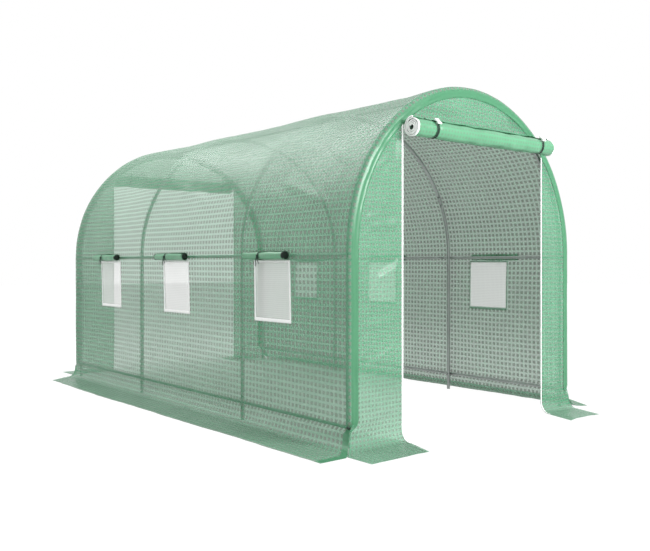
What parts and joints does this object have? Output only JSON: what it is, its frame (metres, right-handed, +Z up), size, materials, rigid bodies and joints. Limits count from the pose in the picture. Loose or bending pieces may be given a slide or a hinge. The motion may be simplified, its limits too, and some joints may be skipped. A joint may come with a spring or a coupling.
{
  "type": "polytunnel greenhouse",
  "caption": "Walk-in polytunnel greenhouse: steel hoops and rails under a woven film cover, with a rolled-up door at each end, net side windows and a ground skirt",
  "frame": {"origin": "on the ground, in the middle of the tunnel's plan", "axes": "+X across to the right wall, +Y from the front end to the rear end, +Z up"},
  "size_m": [2.58, 4.18, 2.035],
  "materials": {
    "woven_film": "semi-gloss",
    "galvanised_tube": "satin",
    "white_tape": "matte",
    "insect_net": "matte",
    "dark_webbing": "matte",
    "white_plastic": "satin",
    "dark_plastic": "satin"
  },
  "bodies": {
    "root": {"front_hoop": "galvanised_tube", "second_hoop": "galvanised_tube", "third_hoop": "galvanised_tube", "rear_hoop": "galvanised_tube", "ridge_rail": "galvanised_tube", "left_middle_rail": "galvanised_tube", "right_middle_rail": "galvanised_tube", "left_lower_rail": "galvanised_tube", "right_lower_rail": "galvanised_tube", "rail_end_caps": "dark_plastic", "left_wall_cover": "woven_film", "right_wall_cover": "woven_film", "left_roof_cover": "woven_film", "roof_crown_cover": "woven_film", "right_roof_cover": "woven_film", "front_left_panel": "woven_film", "front_right_panel": "woven_film", "front_gable": "woven_film", "rear_left_panel": "woven_film", "rear_right_panel": "woven_film", "rear_gable": "woven_film", "left_ground_skirt": "woven_film", "right_ground_skirt": "woven_film", "front_ground_skirts": "woven_film", "rear_ground_skirts": "woven_film", "front_door_roll": "woven_film", "rear_door_roll": "woven_film", "front_door_straps": "dark_webbing", "rear_door_straps": "dark_webbing", "strap_clips": "white_plastic", "front_door_zips": "white_tape", "rear_door_zips": "white_tape", "left_window_nets": "insect_net", "right_window_nets": "insect_net", "left_window_edging": "white_tape", "right_window_edging": "white_tape", "left_window_flaps": "woven_film", "right_window_flaps": "woven_film", "left_window_ties": "dark_webbing", "right_window_ties": "dark_webbing"}
  },
  "joints": []
}
